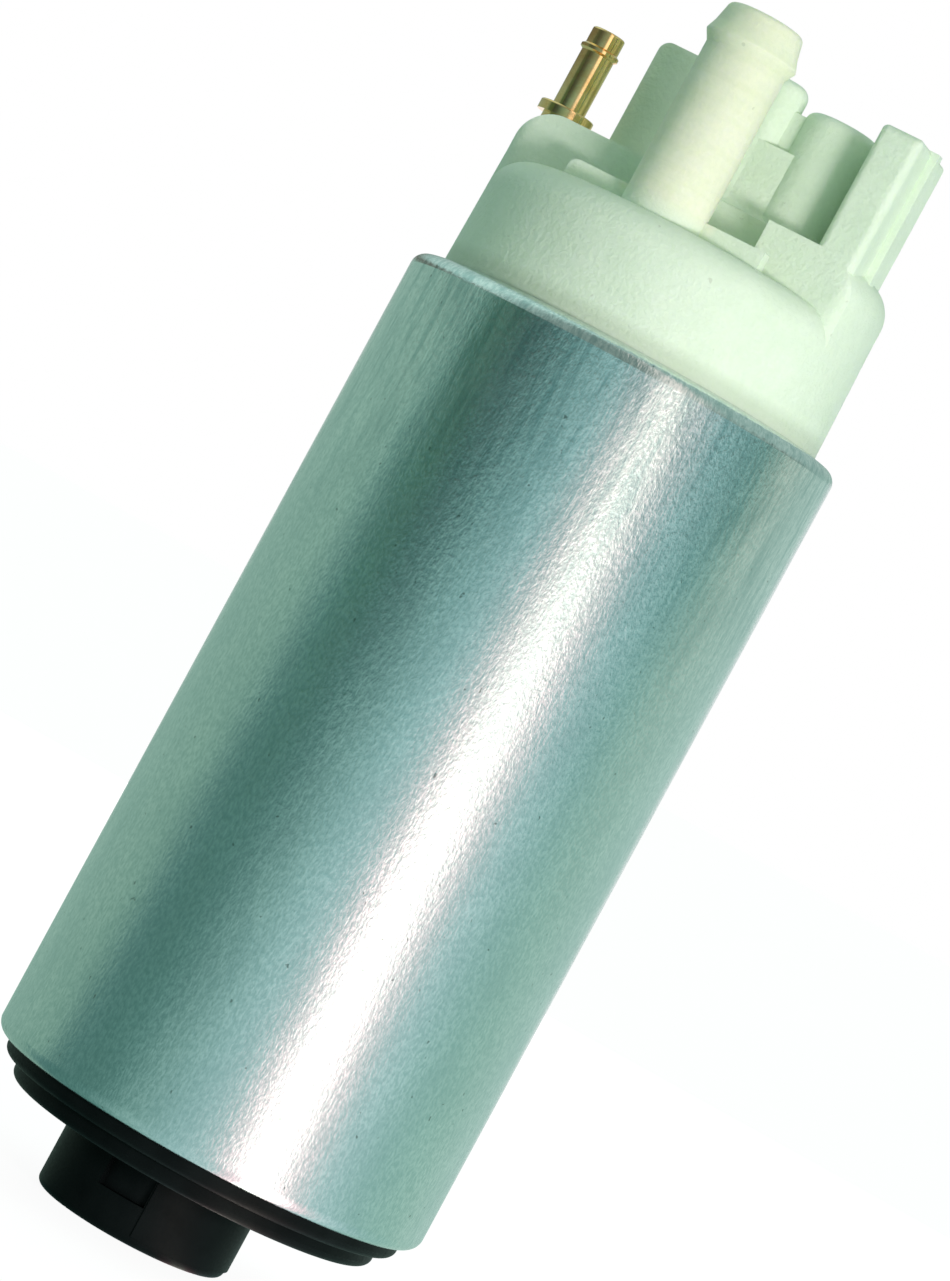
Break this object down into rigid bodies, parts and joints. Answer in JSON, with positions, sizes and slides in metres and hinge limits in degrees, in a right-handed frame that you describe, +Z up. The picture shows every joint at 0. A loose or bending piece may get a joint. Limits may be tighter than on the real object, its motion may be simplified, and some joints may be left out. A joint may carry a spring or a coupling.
{
  "type": "in-tank fuel pump",
  "caption": "Electric in-tank fuel pump: steel can, moulded outlet cover with barbed hose pipe and connector, brass relief nipple, black inlet cover, motor and gear pump inside.",
  "frame": {"origin": "on the can's axis, at the end face of the inlet boss", "axes": "+Z up the can's axis to the hose pipe, +X along the connector, -Y to the side of the hose pipe"},
  "size_m": [0.043, 0.043, 0.1218],
  "materials": {
    "zinc_steel": "satin, zinc plated, fine drawing marks",
    "green_plastic": "moulded, semi-matte",
    "brass": "turned, polished",
    "black_plastic": "moulded, semi-matte",
    "tin_blade": "tin plated",
    "ferrite": "sintered",
    "magnet": "sintered ferrite",
    "copper": "enamelled copper wire",
    "seal_rubber": "smooth",
    "valve_plastic": "moulded",
    "spring_steel": "drawn wire",
    "steel": "ground",
    "shell_steel": "rolled",
    "carbon": "pressed carbon",
    "bronze": "sintered bronze",
    "core_plastic": "moulded phenolic",
    "insulation": "pressed board",
    "stack_steel": "punched sheets"
  },
  "bodies": {
    "casing": {"can": "zinc_steel", "outlet_cover": "green_plastic", "vent_nipple": "brass", "inlet_cover": "black_plastic", "terminal_left": "tin_blade", "terminal_right": "tin_blade", "choke_core_left": "ferrite", "choke_core_right": "ferrite", "choke_winding_left": "copper", "choke_winding_right": "copper", "cover_seal": "seal_rubber", "inlet_seal": "seal_rubber", "valve_seat": "brass", "valve_spider": "valve_plastic", "valve_spring": "spring_steel", "relief_spring": "spring_steel", "brush_spring_left": "spring_steel", "brush_spring_right": "spring_steel", "brush_lead_left": "copper", "brush_lead_right": "copper", "upper_bush": "bronze", "lower_bush": "bronze", "motor_shell": "shell_steel", "magnet_left": "magnet", "magnet_right": "magnet", "magnet_clip_back": "spring_steel", "magnet_clip_front": "spring_steel", "inlet_plate": "steel", "outlet_plate": "steel", "pump_ring": "steel"},
    "rotor": {"shaft": "steel", "armature_stack": "stack_steel", "armature_winding": "copper", "insulator_lower": "insulation", "insulator_upper": "insulation", "commutator_core": "core_plastic", "commutator_segments": "copper", "inner_rotor": "steel", "thrust_washer": "valve_plastic"},
    "outer_rotor": {"outer_rotor": "steel"},
    "brush_left": {"brush_left": "carbon"},
    "brush_right": {"brush_right": "carbon"},
    "valve_plunger": {"valve_plunger": "valve_plastic"},
    "relief_ball": {"relief_ball": "steel"}
  },
  "joints": [
    {"name": "rotor_spin", "type": "hinge", "parent": "casing", "child": "rotor", "pos_m": [0, 0, 0.05], "axis": [0, 0, 1], "continuous": true},
    {"name": "outer_rotor_spin", "type": "hinge", "parent": "casing", "child": "outer_rotor", "pos_m": [-0.0009, 0, 0.0224], "axis": [0, 0, 1], "continuous": true},
    {"name": "brush_left_slide", "type": "slide", "parent": "casing", "child": "brush_left", "axis": [0, 0, 1], "range_m": [0, 0.0025], "stiffness_N_per_m": 180, "springref_m": -0.004, "deforming": ["brush_spring_left", "brush_lead_left"]},
    {"name": "brush_right_slide", "type": "slide", "parent": "casing", "child": "brush_right", "axis": [0, 0, 1], "range_m": [0, 0.0025], "stiffness_N_per_m": 180, "springref_m": -0.004, "deforming": ["brush_spring_right", "brush_lead_right"]},
    {"name": "valve_lift", "type": "slide", "parent": "casing", "child": "valve_plunger", "axis": [0, 0, 1], "range_m": [0, 0.002], "stiffness_N_per_m": 120, "springref_m": -0.003, "deforming": ["valve_spring"]},
    {"name": "relief_lift", "type": "slide", "parent": "casing", "child": "relief_ball", "axis": [0, 0, 1], "range_m": [0, 0.0012], "stiffness_N_per_m": 900, "springref_m": -0.003, "deforming": ["relief_spring"]}
  ],
  "couplings": [
    {"joint": "outer_rotor_spin", "follows": "rotor_spin", "ratio": 0.85714}
  ]
}
